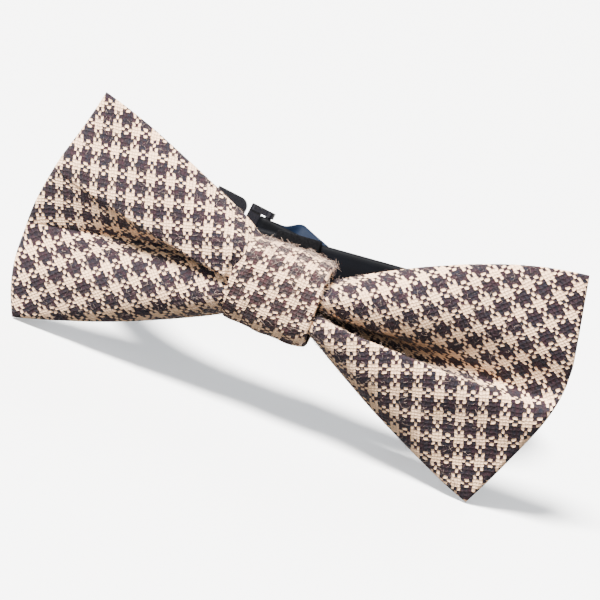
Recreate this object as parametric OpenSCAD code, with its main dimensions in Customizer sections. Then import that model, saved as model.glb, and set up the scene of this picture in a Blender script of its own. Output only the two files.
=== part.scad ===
// Pre-tied bow tie on an adjustable neck band.
// +X to the wearer's left as seen from the front, +Y towards the neck, +Z up.
// The origin is the middle of the footprint, on the surface the bow stands on.

/* [Bow] */
// Width of the bow from wing end to wing end
bow_w = 129; // [124:1:134]
// Height of a wing at its end
bow_h = 60; // [57:1:64]
// How far the knot sits from the middle of the bow, towards -X
knot_off = 5; // [0:0.1:5.5]
// How far the wings hang below the knot's middle
wing_drop = 1.2; // [0:0.1:2]
// How far the middle of the left wing's end stands out past its corners
left_bulge = 3.5; // [2:0.1:6]
// How far the middle of the right wing's end stands out past its corners
right_bulge = 9; // [2:0.1:10]
// Thickness of the wool cloth
cloth_t = 0.8; // [0.6:0.05:1]
// Depth of the pleat beside the knot
pleat_depth = 5; // [3:0.1:6]

/* [Knot] */
// Width of the knot wrap along X
knot_w = 23.5; // [22:0.1:25]
// Height of the knot wrap
knot_h = 23.2; // [22.6:0.1:24]
// Depth of the knot wrap, front to back
knot_d = 17.5; // [17:0.1:18.5]

/* [Neck band] */
// Width of the ribbon
band_w = 20; // [18:0.5:20]
// Thickness of the ribbon
band_t = 0.8; // [0.6:0.05:0.9]
// Half length of the straight run behind the knot
near_half = 22; // [18:1:26]
// How far the band hangs down towards the back, in degrees
band_droop = 11.4; // [9:0.1:12]
// Tilt of the run behind the knot, in degrees
near_roll = 5.5; // [0:0.1:6]
// Tilt of the run at the nape, in degrees
far_roll = 6; // [0:0.1:7]

/* [Hardware] */
// Thickness of the wire of the eye and of the hook's bar
wire_d = 2; // [1.8:0.1:2.2]
// Height of the hook's tongue
tongue_h = 8; // [6:0.5:10]
// Width of the slider along the band
slider_w = 12; // [11:0.5:14]

/* [Hidden] */
$fn = 48;

// Colours
c_cloth = [0.72, 0.66, 0.6];
c_lining = [0.9, 0.88, 0.82];
c_thread = [0.3, 0.25, 0.27];
c_band = [0.08, 0.08, 0.1];
c_black = [0.03, 0.03, 0.035];

// Place of the knot's middle
knot_x = -knot_off;
knot_y = -44.7;
knot_z = bow_h / 2 + wing_drop;

// Knot
knot_mid_y = -2.25;
knot_power = 2.5;
wrap_t = 0.9;
pad_gap = 0.2;
pad_t = 1.4;
pad_w = 17;
core_w = 7.6;
core_waist_r = 4.6;
core_end_r = 5.9;
thread_r = 0.3;
thread_turns = 5;

// Wings, measured from the knot's middle
wing_x0 = 4.4;
mouth_x = knot_w / 2;
half_start = 6.4;
half_mouth = 8.9;
right_len = bow_w / 2 + knot_off;
left_len = bow_w / 2 - knot_off;
wing_stations = 14;
wing_around = 14;
pleat_width = 0.3;
lining_gap = 0.2;
// Lean of each wing along its length: backwards is positive
right_sweep = -0.05;
left_sweep = 0.05;

// Band path: straight, three arcs a side, straight
near_x = 1.5;
near_y = 8.8;
near_z = 0.5;
front_r = 30;
front_turn = 56;
side_r = 75;
rear_turn = 75;
rear_r = 17;
side_turn = 180 - front_turn - rear_turn;
far_half = near_half + (front_r - side_r) * sin(front_turn) + (side_r - rear_r) * sin(rear_turn);
ring_depth = front_r * (1 - cos(front_turn)) + side_r * (cos(front_turn) + cos(rear_turn))
             + rear_r * (1 - cos(rear_turn));
arc_steps = 9;

// Hardware along the nape run, in the nape run's own frame
bar_r = wire_d / 2;
fold_r = bar_r + 0.15 + band_t / 2;
eye_x = -39.2;
eye_pitch = 8.2;
hook_x = -23.2;
slider_x = 13;
frame_h = band_w + 4.6;
// Nearest that a plate comes to the bar beside it, which leaves room for the fold
plate_in = 2.25;
rail_t = 1.9;
rail_z = frame_h / 2 - rail_t;
layer_gap = 0.3;
return_y = band_t + layer_gap;
fold_y = 2 * fold_r;
lay_y = return_y + band_t + layer_gap;
mid_bar_r = 0.7;
loop_r = mid_bar_r + 0.1 + band_t / 2;
loop_y = return_y + loop_r;

// ---------- helpers ----------
function mix(a, b, u) = a + (b - a) * u;
function clamp01(u) = max(0, min(1, u));
function super(a, b, p, n) = [for (i = [0 : n - 1]) let (q = 360 * i / n)
    [a * sign(cos(q)) * pow(abs(cos(q)), 2 / p), b * sign(sin(q)) * pow(abs(sin(q)), 2 / p)]];

module at_knot() translate([knot_x, knot_y, knot_z]) children();

// A closed solid from rings of equal point counts, capped at both ends.
// Ring points come as front points then back points, so a cap is a strip.
function strip_cap(base, n, flip) = [for (k = [0 : n / 2 - 1])
    let (a = base + k, b = base + k + 1, c = base + (n - k - 1) % n, d = base + (n - k) % n)
    each (k == 0 ? [flip ? [a, c, b] : [a, b, c]]
        : k == n / 2 - 1 ? [flip ? [a, d, b] : [a, b, d]]
        : [flip ? [a, c, b] : [a, b, c], flip ? [a, d, c] : [a, c, d]])];
function skin(base, rings, n, flip) = [for (i = [0 : rings - 2], k = [0 : n - 1])
    let (a = base + i * n + k, b = base + i * n + (k + 1) % n, c = a + n, d = b + n)
    each (flip ? [[a, c, b], [b, c, d]] : [[a, b, c], [b, d, c]])];

// ---------- wings ----------
function wing_u(x, len) = clamp01((x - mouth_x) / (len - mouth_x));
function wing_half(x, len) = x < mouth_x
    ? mix(half_start, half_mouth, (x - wing_x0) / (mouth_x - wing_x0))
    : mix(half_mouth, bow_h / 2, pow(wing_u(x, len), 0.92));
function wing_front(x, len, sweep) = let (u = wing_u(x, len))
    -4.2 - 3.2 * sin(180 * pow(u, 0.7)) + 2.4 * u + sweep * max(0, x - mouth_x);
function wing_thick(x, len) = mix(5.4, 2.4, pow(wing_u(x, len), 2));
function pleat(x, t, len) = mix(pleat_depth, 0.35 * pleat_depth, wing_u(x, len))
    * clamp01((x - wing_x0) / 8) * 0.6 * exp(-pow(t / pleat_width, 2));
function edge_round(t) = sqrt(max(0, 1 - pow(abs(t), 6)));

// One ring of a wing at centre-line place x, shrunk by inset
function wing_ring(x, len, bulge, sweep, lift, inset) =
    let (h = wing_half(x, len) - inset, th = wing_thick(x, len) - 2 * inset, n = wing_around,
        mid = lift * wing_u(x, len))
    concat(
        [for (k = [0 : n]) let (t = -cos(180 * k / n), w = edge_round(t))
            [x - bulge * pow(abs(t), 1.5) * pow(wing_u(x, len), 1.5),
             wing_front(x, len, sweep) + pleat(x, t, len) + inset + th / 2 * (1 - w), mid + h * t]],
        [for (k = [1 : n - 1]) let (t = cos(180 * k / n), w = edge_round(t))
            [x - bulge * pow(abs(t), 1.5) * pow(wing_u(x, len), 1.5),
             wing_front(x, len, sweep) + pleat(x, t, len) + inset + th / 2 * (1 + w), mid + h * t]]);
function wing_places(x0, x1, m) = [for (i = [0 : m]) mix(x0, x1, i / m)];

// Cloth pouch, open at the pinch
module wing_pouch(len, bulge, sweep, lift) {
    n = 2 * wing_around;
    outer = wing_places(wing_x0, len, wing_stations);
    inner = wing_places(wing_x0, len - cloth_t, wing_stations);
    m = wing_stations + 1;
    points = concat([for (x = outer) each wing_ring(x, len, bulge, sweep, lift, 0)],
                    [for (x = inner) each wing_ring(x, len, bulge, sweep, lift, cloth_t)]);
    rim = [for (k = [0 : n - 1]) let (b = (k + 1) % n, c = m * n + k, d = m * n + b)
        each [[k, c, b], [b, c, d]]];
    polyhedron(points, concat(skin(0, m, n, false), strip_cap((m - 1) * n, n, false),
        skin(m * n, m, n, true), strip_cap((2 * m - 1) * n, n, true), rim), convexity = 6);
}

module wing_lining(len, bulge, sweep, lift) {
    n = 2 * wing_around;
    m = 10;
    inset = cloth_t + lining_gap;
    points = [for (x = wing_places(mouth_x + 1, len - cloth_t - 0.8, m - 1))
        each wing_ring(x, len, bulge, sweep, lift, inset)];
    polyhedron(points, concat(skin(0, m, n, false), strip_cap((m - 1) * n, n, false),
        strip_cap(0, n, true)), convexity = 4);
}

module right_bow_loop() color(c_cloth) at_knot()
    wing_pouch(right_len, right_bulge, right_sweep, -wing_drop);
module left_bow_loop() color(c_cloth) at_knot() rotate([0, 180, 0])
    wing_pouch(left_len, left_bulge, left_sweep, wing_drop);
module right_interlining() color(c_lining) at_knot()
    wing_lining(right_len, right_bulge, right_sweep, -wing_drop);
module left_interlining() color(c_lining) at_knot() rotate([0, 180, 0])
    wing_lining(left_len, left_bulge, left_sweep, wing_drop);

// ---------- knot ----------
// Profiles lie in the plane across X
module along_x(w) rotate([90, 0, 90]) linear_extrude(w, center = true) children();
module knot_profile(inset) translate([knot_mid_y, 0])
    polygon(super(knot_d / 2 - inset, knot_h / 2 - inset, knot_power, 64));

module knot_wrap() color(c_cloth) at_knot() along_x(knot_w) difference() {
    knot_profile(0);
    knot_profile(wrap_t);
}

// Wadding that gives the knot its round front, open at the back
module knot_padding() color(c_lining) at_knot() along_x(pad_w) difference() {
    knot_profile(wrap_t + pad_gap);
    knot_profile(wrap_t + pad_gap + pad_t);
    translate([1.5, -knot_h]) square([knot_d, 2 * knot_h]);
}

// Gathered middle of the bow cloth
module pinch_core() color(c_cloth) at_knot() translate([0, -1.5, 0]) rotate([0, 90, 0])
    rotate_extrude() polygon([
        [0, -core_w / 2], [core_end_r, -core_w / 2], [core_waist_r, -core_w / 4],
        [core_waist_r, core_w / 4], [core_end_r, core_w / 2], [0, core_w / 2]]);

// Thread wound round the pinch
module pinch_thread() color(c_thread) at_knot() translate([0, -1.5, 0]) rotate([0, 90, 0])
    for (i = [0 : thread_turns - 1]) translate([0, 0, (i - (thread_turns - 1) / 2) * 2.2 * thread_r])
        rotate_extrude() translate([core_waist_r + thread_r + 0.02, 0]) circle(thread_r, $fn = 16);

// Short thread bar along X
module thread_bar(length, r) rotate([0, 90, 0]) cylinder(length, r = r, center = true, $fn = 16);

// Slip stitches closing the wrap at the back
module wrap_seam_stitches() color(c_thread) at_knot()
    for (side = [-1, 1], i = [0 : 2])
        translate([side * (7.4 + 1.5 * i), knot_mid_y + knot_d / 2 + 0.22, -0.6])
            rotate([0, 35, 0]) thread_bar(1.2, 0.18);

// ---------- neck band frames ----------
module band_frame() at_knot() translate([near_x, near_y, near_z]) rotate([-band_droop, 0, 0]) children();
module keeper_frame() band_frame() rotate([0, -near_roll, 0]) translate([-near_x, 0, 0]) children();
module far_frame() band_frame() translate([0, ring_depth, 0]) rotate([0, far_roll, 0]) children();

keeper_w = 11;
keeper_t = 0.7;
keeper_gap = 0.4;
keeper_in_h = band_w + 1;
keeper_in_d = band_t + 2 * keeper_gap;

// Elastic loop that holds the bow on the band
module strap_keeper() color(c_band) keeper_frame() along_x(keeper_w) difference() {
    square([keeper_in_d + 2 * keeper_t, keeper_in_h + 2 * keeper_t], center = true);
    square([keeper_in_d, keeper_in_h], center = true);
}

// Stitches where the keeper is sewn to the wrap
module keeper_stitches() color(c_thread) keeper_frame()
    for (side = [-1, 1], i = [-2 : 2])
        translate([side * (keeper_w / 2 + 0.3), -keeper_in_d / 2 - keeper_t / 2, i * 1.6])
            cylinder(1.1, r = 0.18, center = true, $fn = 16);

// ---------- neck band ----------
// A path place is [x, y, heading]; turtle steps along arcs to the +X side
function arc_place(p, r, a) = [p[0] + r * (sin(p[2] + a) - sin(p[2])),
                               p[1] - r * (cos(p[2] + a) - cos(p[2])), p[2] + a];
function arc_places(p, r, turn) = [for (i = [1 : arc_steps]) arc_place(p, r, turn * i / arc_steps)];
p0 = [near_half, 0, 0];
p1 = arc_place(p0, front_r, front_turn);
p2 = arc_place(p1, side_r, side_turn);
side_places = concat([p0], arc_places(p0, front_r, front_turn), arc_places(p1, side_r, side_turn),
                     arc_places(p2, rear_r, rear_turn));

// Length from the end of the near run to each side place
len1 = front_r * front_turn * PI / 180;
len2 = side_r * side_turn * PI / 180;
len3 = rear_r * rear_turn * PI / 180;
side_len = len1 + len2 + len3;
function side_at(i) = i <= arc_steps ? len1 * i / arc_steps
    : i <= 2 * arc_steps ? len1 + len2 * (i - arc_steps) / arc_steps
    : len1 + len2 + len3 * (i - 2 * arc_steps) / arc_steps;

// Height of the band at the sides: a smooth curve from one run's tilt to the other's
near_rise = near_half * tan(near_roll);
far_rise = -far_half * tan(far_roll);
function rise(q) = let (m0 = tan(near_roll) * side_len, m1 = tan(far_roll) * side_len)
    (2 * q * q * q - 3 * q * q + 1) * near_rise + (q * q * q - 2 * q * q + q) * m0
    + (3 * q * q - 2 * q * q * q) * far_rise + (q * q * q - q * q) * m1;
function slope(q) = let (m0 = tan(near_roll) * side_len, m1 = tan(far_roll) * side_len)
    ((6 * q * q - 6 * q) * near_rise + (3 * q * q - 4 * q + 1) * m0
    + (6 * q - 6 * q * q) * far_rise + (3 * q * q - 2 * q) * m1) / side_len;

// Ribbon section at a place: corners around the ribbon, from heading, slope and height
function section(x, y, z, heading, grade) =
    let (n = [-sin(heading), cos(heading), 0] * band_t / 2, g = atan(grade),
         w = [-sin(g) * cos(heading), -sin(g) * sin(heading), cos(g)] * band_w / 2, p = [x, y, z])
    [p - n - w, p + n - w, p + n + w, p - n + w];
side_last = len(side_places) - 1;
function side_section(i, s) = let (p = side_places[i], q = side_at(i) / side_len)
    section(s * p[0], p[1], s * rise(q), s > 0 ? p[2] : -p[2], slope(q));

// Nape run and folds, given in the nape run's frame and turned into the band's
function far_pt(v) = [v[0] * cos(far_roll) + v[2] * sin(far_roll), ring_depth + v[1],
                      -v[0] * sin(far_roll) + v[2] * cos(far_roll)];
function far_section(x, y, heading) = let (n = [-sin(heading), cos(heading), 0] * band_t / 2,
    w = [0, 0, band_w / 2], p = [x, y, 0])
    [far_pt(p - n - w), far_pt(p + n - w), far_pt(p + n + w), far_pt(p - n + w)];

// From the hook bar's fold back to its free end, heading turning from -X to +X on the outer side
hook_fold = [for (i = [0 : 8]) let (a = 180 * i / 8)
    [hook_x - fold_r * sin(a), fold_r - fold_r * cos(a), 180 - a]];
hook_tail = [[hook_x + 5, mix(fold_y, lay_y, 0.5), -6], [hook_x + 10, lay_y, 0], [-8, lay_y, 0]];
eye_fold = [for (i = [0 : 8]) let (a = 180 * i / 8)
    [eye_x + fold_r * sin(a), fold_r - fold_r * cos(a), a]];
eye_tail = [[eye_x - 3, mix(fold_y, return_y, 0.6), 194], [eye_x - 6, return_y + 0.1, 184]];

function rev(v) = [for (i = [len(v) - 1 : -1 : 0]) v[i]];
hook_end_sections = [for (p = concat(hook_fold, hook_tail)) far_section(p[0], p[1], p[2])];
// The eye end is walked from its tail, so each heading is turned about
eye_end_sections = [for (p = rev(concat(eye_fold, eye_tail))) far_section(p[0], p[1], p[2] + 180)];
band_sections = concat(
    eye_end_sections,
    [for (i = [side_last : -1 : 0]) side_section(i, -1)],
    [for (i = [0 : side_last]) side_section(i, 1)],
    hook_end_sections);

module ribbon(sections) {
    m = len(sections);
    polyhedron([for (s = sections) each s],
        concat(skin(0, m, 4, true), [[0, 1, 2], [0, 2, 3]],
            [[4 * m - 4, 4 * m - 2, 4 * m - 3], [4 * m - 4, 4 * m - 1, 4 * m - 2]]), convexity = 8);
}
module neck_band() color(c_band) band_frame() ribbon(band_sections);

// Box tack across the sewn end at the eye
module eye_tack_stitches() color(c_thread) far_frame()
    for (i = [-6 : 6]) translate([eye_x - 3, mix(fold_y, return_y, 0.6) + band_t / 2 + 0.28, i * 1.4])
        rotate([0, 0, 14]) thread_bar(2, 0.16);

// ---------- hardware ----------
// Eye: a bar for the sewn end, and a round-cornered plate with a slot that takes the hook
eye_t = 1.6;
eye_corner_r = 2.8;
eye_slot_h = tongue_h + 1.4;
eye_out = eye_pitch + bar_r;
eye_rail_z = frame_h / 2 - rail_t;
module eye_outline() {
    translate([-bar_r, -frame_h / 2]) square([eye_out + bar_r - eye_corner_r, frame_h]);
    translate([0, -frame_h / 2 + eye_corner_r]) square([eye_out, frame_h - 2 * eye_corner_r]);
    for (z = [-1, 1]) translate([eye_out - eye_corner_r, z * (frame_h / 2 - eye_corner_r)])
        circle(eye_corner_r);
}
module band_eye() color(c_black) far_frame() translate([eye_x, fold_r, 0]) {
    rotate([90, 0, 0]) linear_extrude(eye_t, center = true) difference() {
        eye_outline();
        translate([-bar_r - 1, -eye_rail_z]) square([bar_r + 1 + plate_in, 2 * eye_rail_z]);
        translate([3.7, -eye_slot_h / 2]) square([eye_pitch - bar_r - 3.7, eye_slot_h]);
    }
    cylinder(2 * eye_rail_z + 0.6, r = bar_r, center = true);
}

// Hook: bar for the band's fold, two rails, plate and bent tongue
plate_out = 6;
tongue_y = 1.75;
tip_x = -11.9;
module hook_rail() linear_extrude(rail_t) {
    circle(bar_r + 0.5);
    translate([bar_r - plate_out, -bar_r]) square([plate_out - bar_r, wire_d]);
    translate([bar_r - plate_out, 0]) circle(bar_r);
}
module band_hook() color(c_black) far_frame() translate([hook_x, fold_r, 0]) {
    cylinder(frame_h - 0.2, r = bar_r, center = true);
    translate([0, 0, rail_z]) hook_rail();
    translate([0, 0, -rail_z - rail_t]) hook_rail();
    translate([-plate_out, -0.6, -frame_h / 2 + 0.3]) cube([plate_out - plate_in, 1.2, frame_h - 0.6]);
    translate([0, 0, -tongue_h / 2]) linear_extrude(tongue_h) {
        polygon([[-plate_out + 0.4, -0.6], [-plate_out + 0.4, 0.6], [-plate_out - 1, tongue_y + 0.5],
                 [tip_x + 0.5, tongue_y + 0.5], [tip_x + 0.5, tongue_y - 0.5],
                 [-plate_out - 0.5, tongue_y - 0.5], [-plate_out - 0.1, -0.6]]);
        translate([tip_x, -2.4]) square([1, tongue_y + 2.4]);
        translate([tip_x + 0.5, tongue_y]) circle(0.5);
        translate([tip_x + 0.5, -2.4]) circle(0.5);
    }
}

// Three-bar slider; the straight band passes between the outer bars and the middle bar
outer_bar_y = -(band_t / 2 + layer_gap + 0.9);
module slider_rail() linear_extrude(rail_t) difference() {
    union() {
        translate([-slider_w / 2 + 1, outer_bar_y - 0.9]) square([slider_w - 2, 1.8 - outer_bar_y]);
        for (x = [-1, 1]) translate([x * (slider_w / 2 - 1), outer_bar_y]) circle(0.95);
        translate([-2.6, 0]) square([5.2, loop_y]);
        translate([0, loop_y]) circle(1.4);
    }
}
module band_slider() color(c_black) far_frame() translate([slider_x, 0, 0]) {
    translate([0, 0, rail_z]) slider_rail();
    translate([0, 0, -rail_z - rail_t]) slider_rail();
    for (x = [-1, 1]) translate([x * (slider_w / 2 - 1), outer_bar_y, 0])
        cylinder(2 * rail_z + 0.4, r = 0.9, center = true);
    translate([0, loop_y, 0]) cylinder(2 * rail_z + 0.4, r = mid_bar_r, center = true);
}

// The band's other end, sewn round the slider's middle bar and lying back along the band
return_x = -15;
loop_fold = [for (i = [0 : 8]) let (a = 180 * i / 8)
    [slider_x + loop_r * sin(a), loop_y - loop_r * cos(a), a]];
loop_tail = [[slider_x - 3.5, loop_y + loop_r * 0.45, 196], [slider_x - 7, lay_y + 0.15, 184],
             [slider_x - 8.6, lay_y, 180]];
return_sections = [for (p = concat([[return_x, return_y, 0]], loop_fold, loop_tail))
    far_section(p[0], p[1], p[2])];
module return_strap() color(c_band) band_frame() ribbon(return_sections);

module slider_tack_stitches() color(c_thread) far_frame()
    for (i = [-6 : 6]) translate([slider_x - 7.4, lay_y + band_t / 2 + 0.4, i * 1.4])
        thread_bar(1.8, 0.16);

left_bow_loop();
right_bow_loop();
left_interlining();
right_interlining();
pinch_core();
pinch_thread();
knot_padding();
knot_wrap();
wrap_seam_stitches();
strap_keeper();
keeper_stitches();
neck_band();
eye_tack_stitches();
band_eye();
band_hook();
band_slider();
return_strap();
slider_tack_stitches();
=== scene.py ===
import bmesh
import bpy
import math
import numpy as np
from mathutils import Matrix, Vector


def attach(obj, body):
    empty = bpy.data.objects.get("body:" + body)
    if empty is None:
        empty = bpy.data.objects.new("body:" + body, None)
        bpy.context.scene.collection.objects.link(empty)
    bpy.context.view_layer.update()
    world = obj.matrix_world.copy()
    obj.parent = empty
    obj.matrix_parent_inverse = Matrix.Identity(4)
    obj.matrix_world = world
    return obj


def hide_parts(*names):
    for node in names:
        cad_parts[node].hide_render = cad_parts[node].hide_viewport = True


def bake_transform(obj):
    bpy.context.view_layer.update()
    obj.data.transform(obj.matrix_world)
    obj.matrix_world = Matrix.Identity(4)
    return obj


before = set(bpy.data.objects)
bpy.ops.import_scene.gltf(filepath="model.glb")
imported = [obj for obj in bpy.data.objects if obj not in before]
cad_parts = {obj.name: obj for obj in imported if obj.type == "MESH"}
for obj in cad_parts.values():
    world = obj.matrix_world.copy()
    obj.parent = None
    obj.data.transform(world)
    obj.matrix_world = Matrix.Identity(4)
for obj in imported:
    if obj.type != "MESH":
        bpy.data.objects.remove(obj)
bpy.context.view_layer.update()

MM = 0.001                                # the script works in mm; meshes are in metres
KNOT = np.array([-5.0, -44.7, 31.2])      # the knot's middle in the frame, mm


# ---------------------------------------------------------------- camera
YAW, TILT, ROLL = math.radians(-5.1), math.radians(12.9), math.radians(20.1)
REACH = 400.0                             # from the camera to the place it aims at, mm
SENSOR, FIELD = 36.0, 139.86              # sensor width, and the width seen at REACH, mm
AIM = KNOT + np.array([5.17, 0.0, -1.33])


def make_camera():
    d = Vector((math.sin(YAW) * math.cos(TILT), math.cos(YAW) * math.cos(TILT), -math.sin(TILT)))
    side = d.cross(Vector((0, 0, 1))).normalized()
    up = side.cross(d)
    r = side * math.cos(ROLL) + up * math.sin(ROLL)
    u = up * math.cos(ROLL) - side * math.sin(ROLL)
    cam = bpy.data.objects.new("camera", bpy.data.cameras.new("camera"))
    turned = Matrix((r, u, -d)).transposed()
    cam.matrix_world = turned.to_4x4()
    cam.location = (Vector(AIM) - d * REACH) * MM
    cam.data.sensor_width = SENSOR
    cam.data.lens = SENSOR * REACH / FIELD
    cam.data.clip_start = 0.01
    bpy.context.scene.collection.objects.link(cam)
    bpy.context.scene.camera = cam


make_camera()


# ---------------------------------------------------------------- small helpers
def mix(a, b, t):
    return a + (b - a) * t


def smooth(a, b, x):
    t = np.clip((x - a) / (b - a), 0, 1)
    return t * t * (3 - 2 * t)


def wobble(x, y, seed, scale):
    """Smooth wandering value of about -1 to 1 over the plane, from a few long waves."""
    g = np.random.default_rng(seed)
    out = 0
    for i in range(7):
        a, ph = g.uniform(0, 2 * math.pi, 2)
        k = 2 * math.pi / scale * g.uniform(0.6, 1.7)
        out = out + np.sin(k * (x * math.cos(a) + y * math.sin(a)) + ph)
    return out / 3.0


def grid_mesh(name, P, uv=None, wrap=False, mark=None):
    """Mesh of quads from points P (n, m, 3) in mm; wrap joins the last column to the first.
    The attribute "cloth" holds uv, and mark as its third number."""
    n, m = P.shape[:2]
    idx = np.arange(n * m).reshape(n, m)
    nxt = np.roll(idx, -1, axis=1) if wrap else idx[:, 1:]
    cur = idx if wrap else idx[:, :-1]
    q = np.stack([cur[:-1], nxt[:-1], nxt[1:], cur[1:]], axis=-1).reshape(-1, 4)
    mesh = bpy.data.meshes.new(name)
    mesh.from_pydata((P.reshape(-1, 3) * MM).tolist(), [], q.tolist())
    for p in mesh.polygons:
        p.use_smooth = True
    if uv is not None:
        a = mesh.attributes.new("cloth", "FLOAT_VECTOR", "POINT")
        v = np.zeros((n * m, 3), np.float32)
        v[:, :2] = uv.reshape(-1, 2)
        if mark is not None:
            v[:, 2] = mark.ravel()
        a.data.foreach_set("vector", v.ravel())
    mesh.update()
    o = bpy.data.objects.new(name, mesh)
    bpy.context.scene.collection.objects.link(o)
    return o


def spline(C, t):
    """Closed uniform cubic B-spline of the control points C (rows, k, 2), at places t."""
    k = C.shape[-2]
    i = np.floor(t).astype(int)
    f = t - i
    w = [
        (1 - f) ** 3 / 6,
        (3 * f ** 3 - 6 * f ** 2 + 4) / 6,
        (-3 * f ** 3 + 3 * f ** 2 + 3 * f + 1) / 6,
        f ** 3 / 6,
    ]
    out = 0
    for a in range(4):
        j = (i + a - 1) % k
        out = out + C[..., j, :] * w[a][..., :, None]
    return out


# ---------------------------------------------------------------- materials
class Graph:
    """Short way to write shader maths."""

    def __init__(self, name):
        self.mat = bpy.data.materials.new(name)
        self.mat.use_nodes = True
        self.t = self.mat.node_tree
        self.b = self.t.nodes["Principled BSDF"]

    def put(self, socket, v):
        if isinstance(v, bpy.types.NodeSocket):
            self.t.links.new(v, socket)
        else:
            socket.default_value = v

    def m(self, op, a, b=0.0, c=0.0):
        n = self.t.nodes.new("ShaderNodeMath")
        n.operation = op
        self.put(n.inputs[0], a)
        if len(n.inputs) > 1:
            self.put(n.inputs[1], b)
        if len(n.inputs) > 2:
            self.put(n.inputs[2], c)
        return n.outputs[0]

    def add(self, a, b):
        return self.m("ADD", a, b)

    def sub(self, a, b):
        return self.m("SUBTRACT", a, b)

    def mul(self, a, b):
        return self.m("MULTIPLY", a, b)

    def ramp(self, v, lo, hi, a=0.0, b=1.0):
        n = self.t.nodes.new("ShaderNodeMapRange")
        n.interpolation_type = "SMOOTHSTEP"
        self.put(n.inputs[0], v)
        for i, x in enumerate((lo, hi, a, b)):
            self.put(n.inputs[i + 1], x)
        return n.outputs[0]

    def col(self, f, a, b):
        n = self.t.nodes.new("ShaderNodeMix")
        n.data_type = "RGBA"
        self.put(n.inputs[0], f)
        self.put(n.inputs[6], a if isinstance(a, bpy.types.NodeSocket) else (*a, 1))
        self.put(n.inputs[7], b if isinstance(b, bpy.types.NodeSocket) else (*b, 1))
        return n.outputs[2]

    def vec(self, x, y, z=0.0):
        n = self.t.nodes.new("ShaderNodeCombineXYZ")
        for i, v in enumerate((x, y, z)):
            self.put(n.inputs[i], v)
        return n.outputs[0]

    def noise(self, vector, scale, detail=2.0, rough=0.5, dist=0.0):
        n = self.t.nodes.new("ShaderNodeTexNoise")
        self.put(n.inputs["Vector"], vector)
        n.inputs["Scale"].default_value = scale
        n.inputs["Detail"].default_value = detail
        n.inputs["Roughness"].default_value = rough
        n.inputs["Distortion"].default_value = dist
        return n.outputs["Fac"]

    def attr(self, name):
        n = self.t.nodes.new("ShaderNodeAttribute")
        n.attribute_name = name
        s = self.t.nodes.new("ShaderNodeSeparateXYZ")
        self.t.links.new(n.outputs["Vector"], s.inputs[0])
        return s.outputs[0], s.outputs[1], s.outputs[2]

    def place(self):
        n = self.t.nodes.new("ShaderNodeTexCoord")
        return n.outputs["Object"]

    def bump(self, height, distance, strength=1.0):
        n = self.t.nodes.new("ShaderNodeBump")
        n.inputs["Strength"].default_value = strength
        n.inputs["Distance"].default_value = distance
        self.put(n.inputs["Height"], height)
        return n.outputs[0]

    def finish(self, color, rough, normal=None, sheen=0.0, spec=0.5, coat=0.0, sheen_tint=(1, 1, 1)):
        b = self.b
        self.put(b.inputs["Base Color"], color if isinstance(color, bpy.types.NodeSocket) else (*color, 1))
        self.put(b.inputs["Roughness"], rough)
        b.inputs["Specular IOR Level"].default_value = spec
        b.inputs["Sheen Weight"].default_value = sheen
        b.inputs["Sheen Roughness"].default_value = 0.45
        b.inputs["Sheen Tint"].default_value = (*sheen_tint, 1)
        b.inputs["Coat Weight"].default_value = coat
        b.inputs["Coat Roughness"].default_value = 0.08
        if normal is not None:
            self.t.links.new(normal, b.inputs["Normal"])
        return self.mat


CREAM_A, CREAM_B = (0.98, 0.655, 0.41), (0.88, 0.55, 0.335)
DARK_A, DARK_B = (0.013, 0.010, 0.013), (0.034, 0.011, 0.015)
DARK_C, DARK_D = (0.010, 0.011, 0.016), (0.085, 0.060, 0.068)
# painted shade: colours of the cream and of the dark threads where they cross under others
CREAM_PAINTED_SHADE, DARK_PAINTED_SHADE = (0.56, 0.37, 0.23), (0.016, 0.011, 0.013)
HAIR, PALE_HAIR = (0.50, 0.34, 0.26), (0.70, 0.50, 0.38)
# painted shade: the colour that cloth deep in a pleat is darkened towards
PAINTED_PLEAT_SHADE = (0.016, 0.012, 0.012)
THREADS = 6                                # in one check: three dark and three light, both ways


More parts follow.
